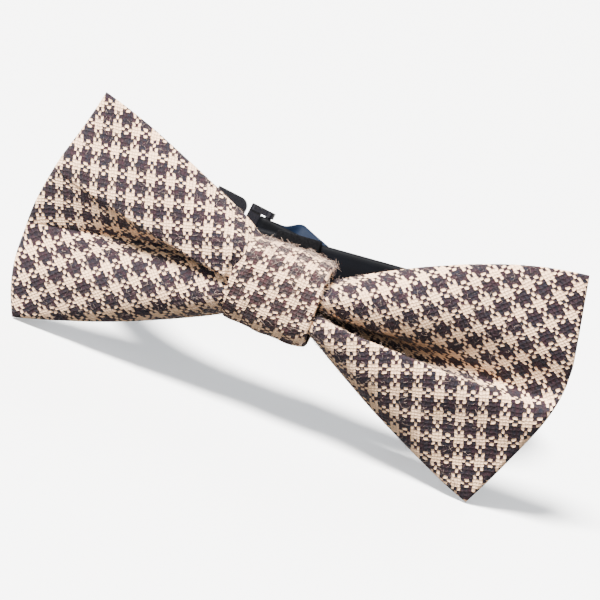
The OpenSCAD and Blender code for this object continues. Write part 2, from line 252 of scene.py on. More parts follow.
def wool_check(name, lighter=0.0, maroon=0.30):
    """Woollen plain weave of three dark and three light threads both ways, with shade painted where threads
    cross under others and deep in pleats. The attribute
    "cloth" holds the place on the flat cloth, in threads, and how deep in a pleat it is, which sets how much
    shade is painted there."""
    g = Graph(name)
    p, q, deep = g.attr("cloth")
    flat = g.vec(p, q)
    # the dark threads are a little thicker than the light ones
    p = g.add(p, g.mul(g.m("COSINE", g.mul(p, math.pi / 3)), 0.20))
    q = g.add(q, g.mul(g.m("COSINE", g.mul(q, math.pi / 3)), 0.20))
    # threads wander a little and are uneven in thickness
    p = g.add(p, g.mul(g.sub(g.noise(g.vec(g.mul(p, 0.35), g.mul(q, 0.9)), 1.0, 2.0), 0.5), 0.95))
    q = g.add(q, g.mul(g.sub(g.noise(g.vec(g.mul(p, 0.9), g.mul(q, 0.35), 7.0), 1.0, 2.0), 0.5), 0.95))
    ip, iq = g.m("FLOOR", p), g.m("FLOOR", q)
    fp, fq = g.m("FRACT", p), g.m("FRACT", q)
    over = g.m("GREATER_THAN", g.m("FLOORED_MODULO", g.add(ip, iq), 2.0), 0.5)
    under = g.sub(1.0, over)
    dark_p = g.m("LESS_THAN", g.m("FLOORED_MODULO", ip, THREADS), 2.5)
    dark_q = g.m("LESS_THAN", g.m("FLOORED_MODULO", iq, THREADS), 2.5)
    dark = g.add(g.mul(over, dark_p), g.mul(under, dark_q))
    across = g.add(g.mul(over, fp), g.mul(under, fq))
    along = g.add(g.mul(over, fq), g.mul(under, fp))
    a2 = g.m("ABSOLUTE", g.sub(g.mul(across, 2.0), 1.0))
    l2 = g.m("ABSOLUTE", g.sub(g.mul(along, 2.0), 1.0))
    rnd = g.m("SQRT", g.m("MAXIMUM", g.sub(1.0, g.mul(a2, a2)), 0.0))
    arch = g.sub(1.0, g.m("POWER", l2, 2.5))
    height = g.mul(rnd, g.add(0.35, g.mul(arch, 0.65)))
    # fibres lie slanted along each thread
    each = g.add(g.mul(ip, 3.1), g.mul(iq, 1.7))
    slant = g.vec(g.add(g.mul(along, 2.2), g.mul(across, 1.2)), g.mul(across, 6.0), each)
    fibre = g.noise(slant, 1.6, 3.0, 0.6)
    thread_p = g.noise(g.vec(g.mul(ip, 5.3), g.mul(q, 0.22), 3.0), 1.0, 2.0)
    thread_q = g.noise(g.vec(g.mul(p, 0.22), g.mul(iq, 5.3), 9.0), 1.0, 2.0)
    tone = g.add(g.mul(over, thread_p), g.mul(under, thread_q))
    blot = g.noise(flat, 0.55, 3.0, 0.65)
    cream = g.col(g.ramp(g.add(g.mul(fibre, 0.6), g.mul(tone, 0.4)), 0.32, 0.68), CREAM_B, CREAM_A)
    navy = g.col(g.ramp(tone, 0.40, 0.60), DARK_A, DARK_C)
    darks = g.col(g.mul(g.ramp(blot, 0.44, 0.60), maroon * 1.6), navy, DARK_B)
    darks = g.col(g.mul(g.ramp(fibre, 0.48, 0.72), 0.40), darks, DARK_D)
    base = g.col(dark, cream, darks)
    # painted shade: between the threads on top, those that cross under them show, coloured darker as if in
    # shade
    dark_low = g.add(g.mul(under, dark_p), g.mul(over, dark_q))
    low = g.col(g.m("MAXIMUM", dark_low, dark), CREAM_PAINTED_SHADE, DARK_PAINTED_SHADE)
    base = g.col(g.ramp(height, 0.12, 0.68), low, base)
    hairs = g.noise(g.vec(p, q, 5.0), 2.2, 5.0, 0.7, 1.5)
    base = g.col(g.mul(g.ramp(hairs, 0.54, 0.74), 0.10 + lighter), base, HAIR)
    if lighter > 0:
        base = g.col(lighter * 0.6, base, PALE_HAIR)
    # painted shade: deep in a pleat the wool's colour is darkened, standing in for the little light that gets
    # there
    base = g.col(g.mul(deep, 0.85), base, PAINTED_PLEAT_SHADE)
    relief = g.add(height, g.add(g.mul(fibre, 0.35), g.mul(hairs, 0.25)))
    n = g.bump(relief, 0.00025, 0.9)
    return g.finish(base, 0.92, n, sheen=0.05, spec=0.06, sheen_tint=(1.0, 0.90, 0.82))


def plain(name, color, rough, sheen=0.0, spec=0.5, coat=0.0, grain=None, amount=0.0, vary=None):
    """One colour; grain is the scale of a fine bump of the given amount, vary a second colour."""
    g = Graph(name)
    n, c = None, color
    if grain:
        h = g.noise(g.place(), grain, 4.0, 0.6)
        n = g.bump(h, amount)
        if vary:
            c = g.col(g.ramp(h, 0.35, 0.65), color, vary)
    return g.finish(c, rough, n, sheen=sheen, spec=spec, coat=coat)


def ribbon_satin(name, color, tint):
    """Satin ribbon: fine ribs across it, long glossy floats along it. A sheen is painted in navy on the fold
    at the end of its run.
    """
    g = Graph(name)
    u, v, painted_fold_sheen = g.attr("cloth")
    rib = g.m("SINE", g.mul(u, 2 * math.pi * 2.2))
    floats = g.noise(g.vec(g.mul(u, 0.8), g.mul(v, 14.0)), 1.0, 3.0, 0.6)
    wear = g.noise(g.vec(g.mul(u, 0.08), g.mul(v, 0.2)), 1.0, 2.0)
    c = g.col(g.ramp(wear, 0.35, 0.7), color, tint)
    c = g.col(g.mul(g.ramp(floats, 0.5, 0.8), 0.2), c, (0.005, 0.005, 0.006))
    # painted sheen: the fold at the ribbon's end is coloured bluer and lighter, standing in for the satin's
    # blue gloss
    c = g.col(g.mul(painted_fold_sheen, 0.9), c, (0.0035, 0.0075, 0.018))
    h = g.add(g.mul(rib, 0.12), g.mul(floats, 0.6))
    n = g.bump(h, 0.00008, 0.6)
    return g.finish(c, 0.5, n, sheen=0.0, spec=0.03)


wool = wool_check("wool_check")
wool_knot = wool_check("wool_check_knot", lighter=0.03, maroon=0.6)
ribbon_mat = ribbon_satin("ribbon_satin", (0.0017, 0.0018, 0.0023), (0.0022, 0.0025, 0.0036))
elastic_mat = plain("elastic", (0.002, 0.002, 0.0024), 0.8, spec=0.02, grain=2200.0, amount=0.00015,
                    vary=(0.004, 0.004, 0.0045))
thread_mat = plain("thread", (0.11, 0.08, 0.09), 0.8, sheen=0.3, spec=0.2, grain=6000.0, amount=0.0001)
pale_fuzz = plain("fuzz", (0.42, 0.31, 0.25), 0.9, sheen=0.1, spec=0.05)
dark_fuzz = plain("fuzz_dark", (0.06, 0.04, 0.045), 0.9, sheen=0.1, spec=0.05)
enamel = plain("black_enamel", (0.004, 0.004, 0.006), 0.22, spec=0.25, coat=0.25, grain=900.0, amount=0.00002)
lining_mat = plain("interlining", (0.72, 0.68, 0.60), 0.95, sheen=0.2, spec=0.1, grain=3000.0, amount=0.0002,
                   vary=(0.60, 0.56, 0.48))


# ---------------------------------------------------------------- wings
MOUTH = 11.75                             # where the knot's side is, along X from its middle
START = 4.4                               # where the wing's cloth starts inside the knot
LEFT_REACH, RIGHT_REACH = 61.8, 70.0      # from the knot's middle to the wing's end, half way up


def end_left(t):
    """Where the left wing's end lies, for t from -1 at the bottom corner to 1 at the top."""
    return LEFT_REACH - 5.57 * t - 5.3 * t ** 2 + 3.17 * t ** 3


def end_right(t):
    """The right wing's end is creased at its middle; here t is 1 at the bottom corner."""
    crease = -0.12
    top = np.clip(crease - t, 0, None)
    low = np.clip(t - crease, 0, None)
    soft = 0.5 * np.exp(-((t - crease) / 0.1) ** 2)
    return RIGHT_REACH - 5.9 * top ** 1.05 - 10.3 * low ** 1.35 - soft


# A is the panel whose fold lies over, B the panel that runs under it: half heights at the mouth
# and at the corner, and how full the edge is. y_mouth and y_end place the wing's middle surface.
# ridge and valley are heights of the fold and of the pleat: at the knot, their change to the
# end, and its power. fold and pocket are how deep the pleat is and how far it runs up behind
# the fold; it dies out with the power dies. gentle and tight say how widely panel B rounds out
# of the pleat; tuck turns the fold's underside away; shade is how strongly shade is painted
# into the pleat's depth; puff is the fullness at the knot; wave is the crest's and hollow's
# place, width and size. The right wing is worked out upside down.
LEFT = dict(
    sign=-1, flip=1, A=(12.3, 28.0, 0.55), B=(11.3, 31.1, 0.32), end=end_left, reach=LEFT_REACH,
    y_mouth=-1.5, y_end=0.8, ridge=(-0.2, 7.0, 1.1), valley=(1.0, -9.0, 1.3),
    fold=8.6, pocket=2.8, dies=0.75, gentle=0.9, tight=(0.55, 0.0, 0.5), tuck=0.3, shade=0.25,
    puff=9.2, wave=(3.0, -2.5, 5.5, 1.5), seed=11,
)
RIGHT = dict(
    sign=1, flip=-1, A=(8.6, 31.1, 0.48), B=(6.6, 28.8, 0.75), end=end_right, reach=RIGHT_REACH,
    y_mouth=-1.8, y_end=-3.4, ridge=(1.6, 1.9, 0.7), valley=(0.9, 0.7, 1.2),
    fold=8.8, pocket=2.6, dies=0.5, gentle=1.25, tight=(0.22, 0.10, 0.62), tuck=2.6, shade=0.9,
    puff=8.4, wave=(3.0, -3.5, 5.5, 1.7), seed=23,
)


# places round the loop, in control points: the fold, the pleat's bottom and panel B's swelling
FOLD_BACK, PLEAT_BOTTOM, PANEL_OUT = (7.2, 9.0), 12.2, (13.4, 16.4)


def edge_height(e, u):
    """Half height of a panel, u of the way from the knot's side to the end."""
    zm, zc, full = e
    return zm + (zc - zm) * (u + full * u * (1 - u))


def wing_points(w, ns, nw):
    """Cloth of one wing as a tube open at the knot. Returns points, and for each the place
    from the panels' edges along the cloth, used for the weave."""
    s = np.linspace(0, 1, ns) ** 0.92
    x = START + (w["reach"] - START) * s
    u = np.clip((x - MOUTH) / (w["reach"] - MOUTH), 0, 1)
    pre = np.clip((x - START) / (MOUTH - START), 0, 1)
    gather = mix(0.62, 1.0, pre)               # the cloth is gathered smaller inside the knot
    zA = edge_height(w["A"], u) * gather
    zB = -edge_height(w["B"], u) * gather
    fade = (1 - u ** 3.0)
    ymid = mix(w["y_mouth"], w["y_end"], u) - 1.4 * np.sin(np.pi * u ** 0.8)
    off = mix(w["puff"], 0.9, u ** 0.95) * mix(0.72, 1, pre)
    r0, r1, rp = w["ridge"]
    v0, v1, vp = w["valley"]
    zr = (r0 + r1 * u ** rp) * gather
    zv = (v0 + v1 * u ** vp) * gather
    dv = w["fold"] * (1 - u) ** w["dies"] * mix(0.7, 1, pre)
    deep = 0.9 * (1 - u) ** 1.2
    ov = w["pocket"] * (1 - u) ** 1.6
    nose = off + 1.2 * (1 - u) ** 0.5 * u ** 0.2
    least, opens, open_by = w["tight"]
    gen = w["gentle"] * mix(least, 1, smooth(opens, open_by, u))
    tuck = w["tuck"] * (1 - u) ** 0.8 * np.clip(u / 0.15, 0, 1)
    e1 = mix(1.5, 0.7, u)
    rows = []

    def cp(z, y):
        """The next control point round the loop, for every place along the wing."""
        rows.append(np.stack([z + 0 * x, y + 0 * x], -1))

    # the upper layer's panel, from its edge to the fold that lies over
    cp(zA + 0.35, ymid)
    cp(zA - 0.5, ymid - e1)
    cp(mix(zA, zr, 0.22), ymid - mix(e1, off, 0.78))
    cp(mix(zA, zr, 0.45), ymid - off - 0.4 * (1 - u))
    cp(mix(zA, zr, 0.70), ymid - nose - 0.2 * (1 - u))
    cp(mix(zA, zr, 0.90), ymid - nose - 0.1)
    cp(zr + 0.5 * fade, ymid - nose - 0.1)
    cp(zr, ymid - nose + 0.25 * fade)
    cp(zr - 0.3 * fade, ymid - nose + 0.9 * fade)
    # under the fold, down to the bottom of the pleat and round it
    cp(mix(zr, zv, 0.5) + tuck, ymid - nose + 0.55 * dv + 0.4 * fade)
    cp(zv + 0.5 * ov + tuck, ymid - nose + 0.9 * dv + 0.5 * deep)
    cp(zv + ov + tuck, ymid - nose + dv + deep)
    cp(zv + ov * 0.3 - 0.3 + 0.3 * tuck, ymid - nose + dv + deep)
    # the lower layer's panel comes out of the pleat and swells
    cp(zv - 0.9 * gen, ymid - nose + dv * 0.80)
    cp(mix(zv, zB, 0.10 * gen), ymid - mix(off, nose, 0.6) + dv * 0.50)
    cp(mix(zv, zB, 0.22 * gen), ymid - mix(off, nose, 0.3) + dv * 0.22)
    cp(mix(zv, zB, 0.48), ymid - off - 0.2 * (1 - u))
    cp(mix(zv, zB, 0.72), ymid - off * 0.87)
    cp(mix(zv, zB, 0.9), ymid - mix(e1, off, 0.45))
    cp(zB + 0.5, ymid - e1)
    cp(zB - 0.35, ymid)
    nfront = len(rows)
    cp(zB + 0.5, ymid + e1)
    cp(mix(zB, 0, 0.3), ymid + mix(e1, off, 0.5))
    cp(mix(zB, 0, 0.7), ymid + off * 0.8)
    cp(-0.8, ymid + off * 0.8)
    cp(0.4 - ov * 0.5, ymid + off * 0.8 - dv * 0.35 * (1 - u))
    cp(0.8, ymid + off * 0.8 - dv * 0.25 * (1 - u))
    cp(1.4, ymid + off * 0.9)
    cp(mix(zA, 0, 0.7), ymid + off * 0.8)
    cp(mix(zA, 0, 0.3), ymid + mix(e1, off, 0.5))
    cp(zA - 0.5, ymid + e1)
    C = np.stack(rows, 1)                      # (ns, k, 2)
    k = C.shape[1]
    # places round the loop: even steps by the mean length of each span, wider on the back
    tt = np.linspace(0, k, 1400, endpoint=False)
    D = spline(C, tt)
    step = np.linalg.norm(np.diff(np.concatenate([D, D[:, :1]], 1), axis=1), axis=-1).mean(0)
    step = np.where(tt < nfront - 0.5, step, step * 0.42)
    cum = np.concatenate([[0], np.cumsum(step)])
    t = np.interp(np.linspace(0, cum[-1], nw, endpoint=False), cum[:-1], tt)
    P2 = spline(C, t)
    z, y = P2[..., 0], P2[..., 1]
    # the end closes along one line, the fold of the cloth
    rolled = 1.6
    close = np.clip((x - (w["reach"] - rolled)) / rolled, 0, 1)
    close = np.sqrt(np.clip(1 - close ** 2, 0, 1))[:, None]
    rim = ymid[:, None]
    y = rim + (y - rim) * close
    # towards the end the pleat opens into a wave that both layers follow
    crest, hollow, width, size = w["wave"]
    back_wave = np.exp(-((z - zv[:, None] - hollow) / width) ** 2)
    front_wave = np.exp(-((z - zr[:, None] - crest) / width) ** 2)
    y = y + (size * u ** 1.4)[:, None] * (back_wave - 0.8 * front_wave)
    # the end is curved, so the rows bend towards it
    tz = np.where(z > 0, z / zA[:, None], -z / zB[:, None])
    reach = w["end"](np.clip(tz, -1.02, 1.02))
    longer = (reach - START) / (w["reach"] - START)
    X = START + (x[:, None] - START) * mix(1.0, longer, (u ** 1.3)[:, None])
    # along the cloth from each panel's edge
    dz, dy = np.diff(z, axis=1), np.diff(y, axis=1)
    seg = np.hypot(dz, dy)
    run = np.concatenate([np.zeros((ns, 1)), np.cumsum(seg, 1)], 1)
    iB = int(np.argmin(np.abs(t - (nfront - 1))))
    etaA = zA[:, None] - run
    etaB = zB[:, None] + (run[:, iB:iB + 1] - run)
    iv = int(np.argmin(np.abs(t - PLEAT_BOTTOM)))
    return dict(u=u, t=t, X=X, z=z, y=y, etaA=etaA, etaB=etaB, run=run, iv=iv, iB=iB)


def to_threads(X, Z, grain):
    """Place on the cloth in threads, from the place on a panel: mm along X, and mm up the cloth."""
    long_p, turn_p, long_q, turn_q, x0, z0 = grain
    ax, az = long_p * math.cos(math.radians(turn_p)), long_p * math.sin(math.radians(turn_p))
    bx, bz = long_q * math.cos(math.radians(turn_q)), long_q * math.sin(math.radians(turn_q))
    det = ax * bz - az * bx
    dx, dz = X - x0, Z - z0
    return np.stack([THREADS * (dx * bz - dz * bx) / det, THREADS * (ax * dz - az * dx) / det], -1)


# How the check lies on each panel: its repeat in mm and its turn from X in degrees, for the two
# thread directions, and a corner of the check near the panel's middle, in mm from the knot
GRAIN = dict(
    left_up=(4.65, 9, 5.2, -73, -39.2, 10.7),
    left_low=(5.3, 44.5, 4.95, -38, -37.6, -14.6),
    right_up=(5.0, 44.5, 5.1, -37.5, 43.8, 11.2),
    right_low=(4.95, 14, 5.6, -74, 36.6, -15.1),
    knot=(5.1, 1.5, 4.75, -96, 0.8, -0.5),
)


def make_wing(name, w, gA, gB, ns, nw):
    """A wing's cloth, with gA and gB the grain of its panels A and B."""
    r = wing_points(w, ns, nw)
    X = w["sign"] * r["X"]
    Z = w["flip"] * r["z"]
    run, u = r["run"], r["u"][:, None]
    # small unevenness of real cloth
    Y = r["y"] + 0.35 * wobble(X, run, w["seed"], 34.0) * (0.3 + 0.7 * u) * (1 - u ** 6) \
        + 0.12 * wobble(X, run, w["seed"] + 1, 11.0) * (1 - u ** 6)
    P = np.stack([X, Y, Z], -1) + KNOT
    eA, eB = w["flip"] * r["etaA"], w["flip"] * r["etaB"]
    A = to_threads(X, eA, GRAIN[gA])
    B = to_threads(X, eB, GRAIN[gB])
    # the cloth turns from one panel's grain to the other's inside the pleat, and more
    # slowly where the pleat runs out
    run_v = run[:, r["iv"]:r["iv"] + 1]
    # whole repeats between the two panels make no difference: take out those at the pleat's open end
    open_end = slice(int(0.7 * ns), ns)
    apart = (B - A)[open_end, r["iv"]].mean(axis=0)
    B = B - THREADS * np.round(apart / THREADS)
    wide = mix(1.6, 13.0, u ** 2.2)
    beta = smooth(-1, 1, (run - run_v) / wide)
    uv = A * (1 - beta[..., None]) + B * beta[..., None]
    t = r["t"][None, :]
    # painted shade: how far into the pleat each place lies, times the wing's shade; it darkens the wool's
    # colour there
    inside = smooth(*FOLD_BACK, t) * (1 - smooth(*PANEL_OUT, t))
    deep = w["shade"] * inside * (1 - smooth(0.30, 0.80, u))
    o = grid_mesh(name, P, uv, wrap=True, mark=deep)
    return o, P, r


NS, NW = ((250, 380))
left_wing, PL, ROWS_L = make_wing("left_wing_cloth", LEFT, "left_up", "left_low", NS, NW)
right_wing, PR, ROWS_R = make_wing("right_wing_cloth", RIGHT, "right_low", "right_up", NS, NW)
for o in (left_wing, right_wing):
    o.data.materials.append(wool)
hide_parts("left_bow_loop")
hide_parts("right_bow_loop")


# ---------------------------------------------------------------- knot wrap
def make_knot():
    """The wrap: a loop of cloth round the middle, with both long edges hemmed."""
    nx, na = ((150, 420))
    half_l, half_r = 10.9, 10.4
    s = np.linspace(-1, 1, nx)
    a = np.linspace(0, 2 * math.pi, na, endpoint=False)
    S, A = np.meshgrid(s, a, indexing="ij")
    # hems: the last stretch at each side turns in
    hem = 0.86
    turn = np.clip((np.abs(S) - hem) / (1 - hem), 0, 1)
    ang = turn * math.pi * 0.75
    lip = 0.7
    inward = lip * (1 - np.cos(ang))
    half = np.where(S < 0, half_l, half_r)
    X = np.sign(S) * (np.minimum(np.abs(S), hem) / hem * (half - lip) + lip * np.sin(ang))
    c, sn = np.cos(A), np.sin(A)
    power = 2 / 2.5
    ry = 8.75 - inward
    rz = 10.5 - 0.3 * (S ** 2) - inward + 0.25 * np.cos(S * 2.0)
    Y = -2.25 - ry * np.sign(c) * np.abs(c) ** power
    Z = -0.5 + rz * np.sign(sn) * np.abs(sn) ** power
    X = X - 0.07 * Z * (S < 0) * np.abs(S)         # the wrap is wider at its upper left corner
    amp = 0.30 * (1 - turn)
    R = amp * wobble(X * 0.6 + 9 * c, 10 * sn, 5, 16.0)
    R = R + 0.14 * wobble(X + 9 * c, 10 * sn, 6, 6.0) * (1 - turn)
    Y = Y - R * c
    Z = Z + R * sn
    P = np.stack([X, Y, Z], -1) + KNOT
    # arc length round the loop, measured so that the front middle is 0
    Q = np.stack([Y[nx // 2], Z[nx // 2]], -1)
    seg = np.linalg.norm(np.roll(Q, -1, axis=0) - Q, axis=-1)
    cum = np.concatenate([[0], np.cumsum(seg)])[:-1]
    total = seg.sum()
    cum = np.where(cum > total / 2, cum - total, cum)
    eta = np.broadcast_to(cum, X.shape)
    uv = to_threads(X, eta, GRAIN["knot"])
    o = grid_mesh("knot_wrap_cloth", P, uv, wrap=True)
    o.data.materials.append(wool_knot)
    return o, P


knot, PK = make_knot()
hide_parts("knot_wrap")
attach(knot, "bow_centre")


# ---------------------------------------------------------------- fuzz
FIBRE_R = 0.024


def unit(v):
    return v / np.maximum(np.linalg.norm(v, axis=-1, keepdims=True), 1e-9)


def make_fuzz(name, P, count, seed, longest, weight):
    """Loose wool fibres standing off the cloth: fine three-sided tubes, curved, tapered and closed."""
    g = np.random.default_rng(seed)
    n, m = P.shape[:2]
    du = np.gradient(P, axis=0)
    dw = np.roll(P, -1, axis=1) - np.roll(P, 1, axis=1)
    N = unit(np.cross(du, dw))
    out = P - P.mean(axis=1, keepdims=True)
    N = N * np.sign((N * out).sum(-1).mean())
    chance = (weight * np.linalg.norm(du, axis=-1) * np.linalg.norm(dw, axis=-1)).ravel()
    pick = g.choice(n * m, count, p=chance / chance.sum())
    i, j = pick // m, pick % m
    base, nor, t1 = P[i, j], N[i, j], unit(du[i, j])
    t2 = np.cross(nor, t1)
    ang = g.uniform(0, 2 * math.pi, count)[:, None]
    along = t1 * np.cos(ang) + t2 * np.sin(ang)
    aside = np.cross(nor, along)
    size = 0.5 + (longest - 0.5) * g.random(count)[:, None] ** 2.2
    curl = g.uniform(-0.7, 0.7, count)[:, None]
    lift = 0.10 + 0.45 * g.random(count)[:, None] ** 2
    rings = 5
    verts = []
    for k in range(rings):
        f = k / (rings - 1)
        c = base - nor * 0.05 + size * (along * f + aside * curl * f ** 2 + nor * lift * f * (1.6 - 0.9 * f))
        r = FIBRE_R * (1 - 0.5 * f)
        for side in range(3):
            a = 2 * math.pi * side / 3
            verts.append(c + r * (aside * math.cos(a) + nor * math.sin(a)))
    V = np.stack(verts, 1)                     # (count, rings * 3, 3)
    one = []
    for k in range(rings - 1):
        for side in range(3):
            a, b = 3 * k + side, 3 * k + (side + 1) % 3
            one.append((a, b, b + 3, a + 3))
    first = np.arange(count)[:, None, None] * rings * 3
    quads = (np.array(one)[None] + first).reshape(-1, 4).tolist()
    caps = np.array([(2, 1, 0), (12, 13, 14)])[None] + first
    mesh = bpy.data.meshes.new(name)
    mesh.from_pydata((V.reshape(-1, 3) * MM).tolist(), [], quads + caps.reshape(-1, 3).tolist())
    dark = g.random(count) < 0.3
    kind = np.concatenate([np.repeat(dark, len(one)), np.repeat(dark, 2)]).astype(np.int32)
    mesh.polygons.foreach_set("material_index", kind)
    mesh.update()
    o = bpy.data.objects.new(name, mesh)
    bpy.context.scene.collection.objects.link(o)
    o.data.materials.append(pale_fuzz)
    o.data.materials.append(dark_fuzz)
    return o


def near_knot(P):
    """More fibres are pulled up close to the knot than out on the wing."""
    away = np.abs(P[..., 0] - KNOT[0]) - 11.0
    clear = (P[..., 2] > 3.0) & (away < 44)              # not where the wing stands or ends
    return clear * np.clip(away + 0.5, 0, 0.5) * (0.5 + 1.3 * np.exp(-np.clip(away, 0, None) / 7.0))


FUZZ = 1.0
left_fuzz = make_fuzz("left_wing_fuzz", PL, int(5000 * FUZZ), 41, 1.7, near_knot(PL))
right_fuzz = make_fuzz("right_wing_fuzz", PR, int(5000 * FUZZ), 42, 1.7, near_knot(PR))
top_roll = 0.25 + 2.2 * np.exp(-((PK[..., 2] - KNOT[2] - 9.0) / 3.0) ** 2) * (PK[..., 1] < KNOT[1] + 2)
knot_fuzz = make_fuzz("knot_fuzz", PK, int(1900 * FUZZ), 43, 2.8, top_roll)
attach(knot_fuzz, "bow_centre")


# ---------------------------------------------------------------- inside the cloth
def make_lining(name, w, r, P, node, body):
    """Stiffening sheet inside a wing. It lies against the back layer, a little in front of it."""
    inset, against = 1.6, 0.72             # in from the wing's edges; how near the back layer
    rows = np.nonzero((r["u"] > 0.05) & (r["u"] < 0.75))[0][::2]
    back = np.arange(r["iB"], P.shape[1])
    T = np.linspace(-1, 1, 60)
    places = []
    for i in rows:
        top, bottom = r["z"][i, 0], r["z"][i, r["iB"]]
        z = np.where(T > 0, T * (top - inset), -T * (bottom + inset))
        level = np.maximum.accumulate(r["z"][i, back])
        layer = np.interp(z, level, P[i, back, 1])
        rim = mix(P[i, r["iB"], 1], P[i, 0, 1], (z - bottom) / (top - bottom))
        x = KNOT[0] + w["sign"] * np.interp(z, level, r["X"][i, back])
        places.append(np.stack([x, mix(rim, layer, against), KNOT[2] + w["flip"] * z], -1))
    P = np.stack(places)
    o = grid_mesh(name, P, P[..., ::2])
    o.data.materials.append(lining_mat)
    mod = o.modifiers.new("thick", "SOLIDIFY")
    mod.thickness, mod.offset = 0.4 * MM, 0
    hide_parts(node)
    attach(o, body)
    return o


lining_l = make_lining("left_lining_sheet", LEFT, ROWS_L, PL, "left_interlining", "left_wing")
lining_r = make_lining("right_lining_sheet", RIGHT, ROWS_R, PR, "right_interlining", "right_wing")


def make_padding():
    """Wadding under the knot's front: an open C of soft stuff."""
    nx, na = 40, 120
    s = np.linspace(-1, 1, nx)
    a = np.linspace(-0.62, 0.62, na) * math.pi
    layers = []
    for side in (0, 1):
        S, A = np.meshgrid(s, a, indexing="ij")
        ry, rz = (6.3, 8.0) if side else (7.6, 9.2)      # the inner face, or the outer
        end = np.clip((np.abs(A) / math.pi - 0.5) / 0.12, 0, 1)
        k = 0.65 * end ** 2 * (1 if side else -1)
        c, sn = np.cos(A), np.sin(A)
        soft = 0.12 * wobble(S * 9, A * 9, 31 + side, 4.0)
        Y = -2.25 - (ry + k + soft) * np.sign(c) * np.abs(c) ** 0.8
        Z = -0.5 + (rz + k + soft) * np.sign(sn) * np.abs(sn) ** 0.8
        layers.append(np.stack([8.5 * S, Y, Z], -1))
    ring = np.concatenate([layers[0], layers[1][:, ::-1]], 1) + KNOT
    o = grid_mesh("knot_wadding", ring, ring[..., :2], wrap=True)
    cap_ends(o, ring.shape)
    o.data.materials.append(lining_mat)
    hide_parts("knot_padding")
    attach(o, "bow_centre")
    return o


def cap_ends(o, shape):
    """Closes a loop mesh's two ends with strips between opposite points."""
    bm = bmesh.new()
    bm.from_mesh(o.data)
    bm.verts.ensure_lookup_table()
    n, m = shape[:2]
    for base, turn in ((0, 1), ((n - 1) * m, -1)):
        for i in range(m // 2 - 1):
            q = [base + i, base + i + 1, base + m - 2 - i, base + m - 1 - i]
            bm.faces.new([bm.verts[j] for j in (q if turn > 0 else q[::-1])])
    for f in bm.faces:
        f.smooth = True
    bm.to_mesh(o.data)
    bm.free()


wadding = make_padding()


def make_pinch():
    """The gathered middle of the bow cloth: a waist with folds running through it."""
    nx, na = 60, 300
    s = np.linspace(-1, 1, nx)
    a = np.linspace(0, 2 * math.pi, na, endpoint=False)
    S, A = np.meshgrid(s, a, indexing="ij")
    waist = 4.45 + 1.25 * S ** 2
    folds = 0.35 * np.abs(np.sin(4.5 * A + 0.5 * np.sin(3 * A))) ** 0.7 * (0.4 + 0.6 * S ** 2)
    r = waist - folds
    cap = np.clip((np.abs(S) - 0.93) / 0.07, 0, 1)
    r = r * np.sqrt(np.clip(1 - cap ** 2, 0, 1))
    P = np.stack([3.8 * S, -1.5 + r * np.cos(A), r * np.sin(A)], -1) + KNOT
    uv = np.stack([P[..., 0] * 1.2, A * 9.0], -1)
    o = grid_mesh("pinch_gather", P, uv, wrap=True)
    o.data.materials.append(wool)
    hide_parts("pinch_core")
    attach(o, "bow_centre")
    return o


pinch = make_pinch()


# ---------------------------------------------------------------- neck band
# The band's frame hangs from the knot; its path is a straight run, three arcs a side and the
# straight run at the nape, in mm.
NEAR = np.array([1.5, 8.8, 0.5])
DROOP, NEAR_ROLL, FAR_ROLL = math.radians(11.4), math.radians(5.5), math.radians(6.0)
NEAR_HALF = 22.0
ARCS = ((30.0, 56.0), (75.0, 49.0), (17.0, 75.0))
BAND_W, BAND_T = 20.0, 0.8
EYE_X, HOOK_X, SLIDER_X, FOLD_R = -39.2, -23.2, 13.0, 1.55
LAY_Y, RETURN_Y = 2.2, 1.1


def band_to_row(v):
    c, s = math.cos(-DROOP), math.sin(-DROOP)
    x, y, z = v[..., 0], v[..., 1], v[..., 2]
    return np.stack([x, y * c - z * s, y * s + z * c], -1) + NEAR + KNOT


def side_path(step=0.5):
    """Places along one side of the ring, from the end of the near run: x, y, heading, length."""
    x, y, h, run = NEAR_HALF, 0.0, 0.0, 0.0
    out = [(x, y, h, run)]
    for r, deg in ARCS:
        n = max(4, int(r * math.radians(deg) / step))
        da = math.radians(deg) / n
        for _ in range(n):
            x += r * (math.sin(h + da) - math.sin(h))
            y -= r * (math.cos(h + da) - math.cos(h))
            h += da
            run += r * da
            out.append((x, y, h, run))
    return np.array(out)


SIDE = side_path()
DEPTH = SIDE[-1, 1]
FAR_HALF = SIDE[-1, 0]
SIDE_LEN = SIDE[-1, 3]


def far_to_band(v):
    c, s = math.cos(FAR_ROLL), math.sin(FAR_ROLL)
    x, y, z = v[..., 0], v[..., 1], v[..., 2]
    return np.stack([x * c + z * s, y + DEPTH, -x * s + z * c], -1)


def side_height(q):
    """Height of the band's middle, q of the way round a side, as the two rolls lead into it."""
    a, b = NEAR_HALF * math.tan(NEAR_ROLL), -FAR_HALF * math.tan(FAR_ROLL)
    m0, m1 = math.tan(NEAR_ROLL) * SIDE_LEN, math.tan(FAR_ROLL) * SIDE_LEN
    start = (2 * q ** 3 - 3 * q ** 2 + 1) * a + (q ** 3 - 2 * q ** 2 + q) * m0
    return start + (3 * q ** 2 - 2 * q ** 3) * b + (q ** 3 - q ** 2) * m1


def frame_rows(C, N, W):
    """Ribbon cross-sections round each centre C with thickness direction N and width direction W."""
    across = 26
    t = np.linspace(-1, 1, across)
    hem = 1 + 0.22 * np.exp(-((np.abs(t) - 0.955) / 0.03) ** 2)      # the woven edges are a little thicker
    face = np.sqrt(np.clip(1 - np.abs(t) ** 30, 0, 1)) * hem * BAND_T / 2
    zs = np.concatenate([t, t[::-1]]) * BAND_W / 2
    ns = np.concatenate([face, -face[::-1]])
    P = C[:, None] + N[:, None] * ns[None, :, None] + W[:, None] * zs[None, :, None]
    return P, zs


